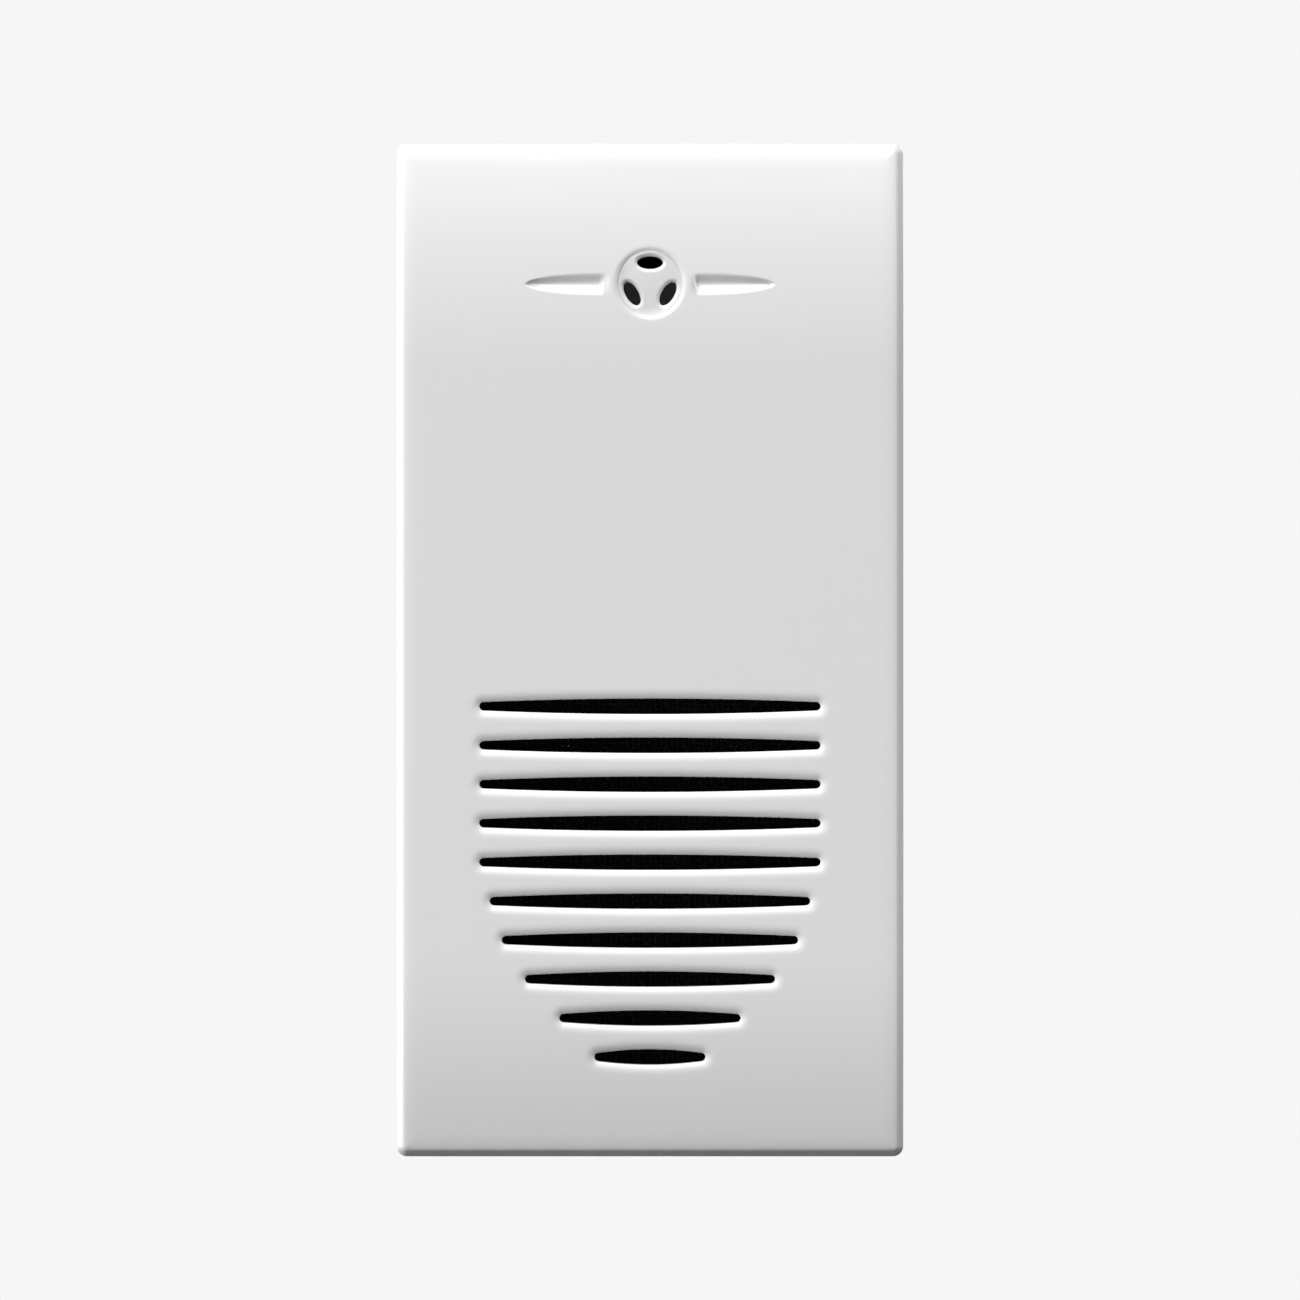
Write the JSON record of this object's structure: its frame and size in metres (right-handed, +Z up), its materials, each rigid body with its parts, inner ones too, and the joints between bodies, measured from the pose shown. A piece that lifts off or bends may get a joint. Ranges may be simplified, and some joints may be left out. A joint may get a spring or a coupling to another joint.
{
  "type": "doorbell chime module",
  "caption": "Slim flush-mounted doorbell chime module: slotted cover with a volume dial, and a box with a striker, gong and screw terminals behind it.",
  "frame": {"origin": "middle of the module in the plane where its flange seats on the support frame", "axes": "+X to the right seen from the front, +Y back into the wall box, +Z up"},
  "size_m": [0.0226, 0.035, 0.045],
  "materials": {
    "cover_white": "fine satin",
    "dial_white": "satin",
    "gauze_black": "woven",
    "housing_grey": "matt moulded",
    "block_grey": "matt moulded",
    "bobbin_nylon": "natural nylon",
    "yoke_steel": "zinc plated",
    "plated_steel": "plated",
    "spring_steel": "bright",
    "brass": "turned",
    "copper_wire": "enamelled copper",
    "coil_tape": "polyester film",
    "bush_rubber": "matt",
    "bell_metal": "nickel plated"
  },
  "bodies": {
    "base": {"rear_housing": "housing_grey", "terminal_block": "block_grey", "yoke": "yoke_steel", "core_pole": "yoke_steel", "residual_shim": "brass", "coil_bobbin": "bobbin_nylon", "coil_winding": "copper_wire", "coil_tape": "coil_tape", "coil_leads": "copper_wire", "yoke_screws": "plated_steel", "pivot_pin": "plated_steel", "pivot_clip": "spring_steel", "return_spring": "spring_steel", "gong": "bell_metal", "gong_bush": "bush_rubber", "gong_washer": "plated_steel", "gong_screw": "plated_steel", "gong_post": "brass", "contact_bar_left": "brass", "contact_bar_right": "brass"},
    "cover": {"front_cover": "cover_white", "dust_screen": "gauze_black", "dial_retainer": "brass"},
    "dial": {"volume_dial": "dial_white", "adjuster_spindle": "brass"},
    "striker": {"armature": "yoke_steel", "hammer_arm": "spring_steel", "hammer_head": "brass", "hammer_rivets": "plated_steel"},
    "screw_left": {"terminal_screw_left": "plated_steel"},
    "screw_right": {"terminal_screw_right": "plated_steel"},
    "cage_left": {"clamp_cage_left": "plated_steel"},
    "cage_right": {"clamp_cage_right": "plated_steel"},
    "clip_top": {"retaining_clip_top": "spring_steel"},
    "clip_bottom": {"retaining_clip_bottom": "spring_steel"}
  },
  "joints": [
    {"name": "cover_pull", "type": "slide", "parent": "base", "child": "cover", "axis": [0, -1, 0], "range_m": [0, 0.014]},
    {"name": "dial_turn", "type": "hinge", "parent": "cover", "child": "dial", "pos_m": [0, -0.009, 0.01628], "axis": [0, 1, 0], "range_deg": [-60, 60]},
    {"name": "armature_pivot", "type": "hinge", "parent": "base", "child": "striker", "pos_m": [0, 0.00203, 0.018], "axis": [1, 0, 0], "range_deg": [0, 3.5], "stiffness_Nm_per_rad": 0.02, "springref_deg": -8.59, "deforming": ["return_spring"]},
    {"name": "terminal_screw_left_turn", "type": "hinge", "parent": "base", "child": "screw_left", "pos_m": [-0.0049, 0.0236, -0.01172], "axis": [0, -1, 0], "range_deg": [0, 1440]},
    {"name": "clamp_cage_left_slide", "type": "slide", "parent": "base", "child": "cage_left", "axis": [0, 1, 0], "range_m": [0, 0.002]},
    {"name": "terminal_screw_right_turn", "type": "hinge", "parent": "base", "child": "screw_right", "pos_m": [0.0049, 0.0236, -0.01172], "axis": [0, -1, 0], "range_deg": [0, 1440]},
    {"name": "clamp_cage_right_slide", "type": "slide", "parent": "base", "child": "cage_right", "axis": [0, 1, 0], "range_m": [0, 0.002]},
    {"name": "clip_top_flex", "type": "hinge", "parent": "base", "child": "clip_top", "pos_m": [0, 0.0097, 0.0207], "axis": [1, 0, 0], "range_deg": [0, 5], "stiffness_Nm_per_rad": 0.3, "springref_deg": -1.15},
    {"name": "clip_bottom_flex", "type": "hinge", "parent": "base", "child": "clip_bottom", "pos_m": [0, 0.0097, -0.0207], "axis": [-1, 0, 0], "range_deg": [0, 5], "stiffness_Nm_per_rad": 0.3, "springref_deg": -1.15}
  ],
  "couplings": [
    {"joint": "terminal_screw_left_turn", "follows": "clamp_cage_left_slide", "rad_per_m": 12566},
    {"joint": "terminal_screw_right_turn", "follows": "clamp_cage_right_slide", "rad_per_m": 12566}
  ]
}
